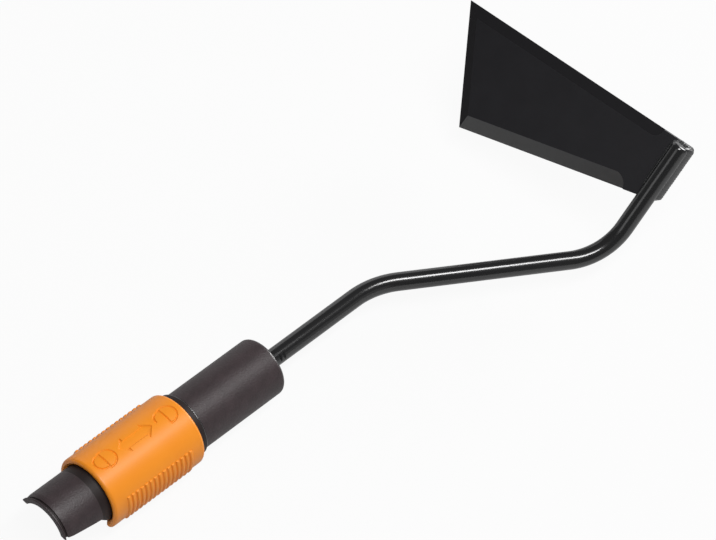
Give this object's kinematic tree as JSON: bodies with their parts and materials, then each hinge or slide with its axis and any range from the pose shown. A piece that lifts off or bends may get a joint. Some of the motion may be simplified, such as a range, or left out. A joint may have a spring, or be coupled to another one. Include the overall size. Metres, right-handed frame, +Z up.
{
  "type": "interchangeable hoe head",
  "caption": "Push-pull hoe head: flat blade ground on three edges, welded to a cranked round neck, with a half-round quick coupling and a sliding locking sleeve.",
  "frame": {"origin": "on the coupling's axis, at the tip of the half-round tongue", "axes": "+X along the coupling from the tongue's tip towards the blade, +Y left, +Z up, on the closed side of the tongue"},
  "size_m": [0.397, 0.155, 0.0812],
  "materials": {
    "blade_enamel": "black enamel, satin",
    "rod_enamel": "black enamel, gloss",
    "weld_enamel": "black enamel over a rough weld bead",
    "black_nylon": "moulded, fine satin texture",
    "spring_steel": "bright spring steel",
    "orange_plastic": "moulded, smooth satin"
  },
  "bodies": {
    "head": {"blade": "blade_enamel", "neck_rod": "rod_enamel", "inner_weld": "weld_enamel", "outer_weld": "weld_enamel", "end_weld": "weld_enamel", "coupling_core": "black_nylon", "detent_ring": "spring_steel", "barrel": "black_nylon"},
    "sleeve": {"locking_sleeve": "orange_plastic"}
  },
  "joints": [
    {"name": "sleeve_slide", "type": "slide", "parent": "head", "child": "sleeve", "axis": [-1, 0, 0], "range_m": [0, 0.027], "deforming": ["detent_ring"]}
  ]
}
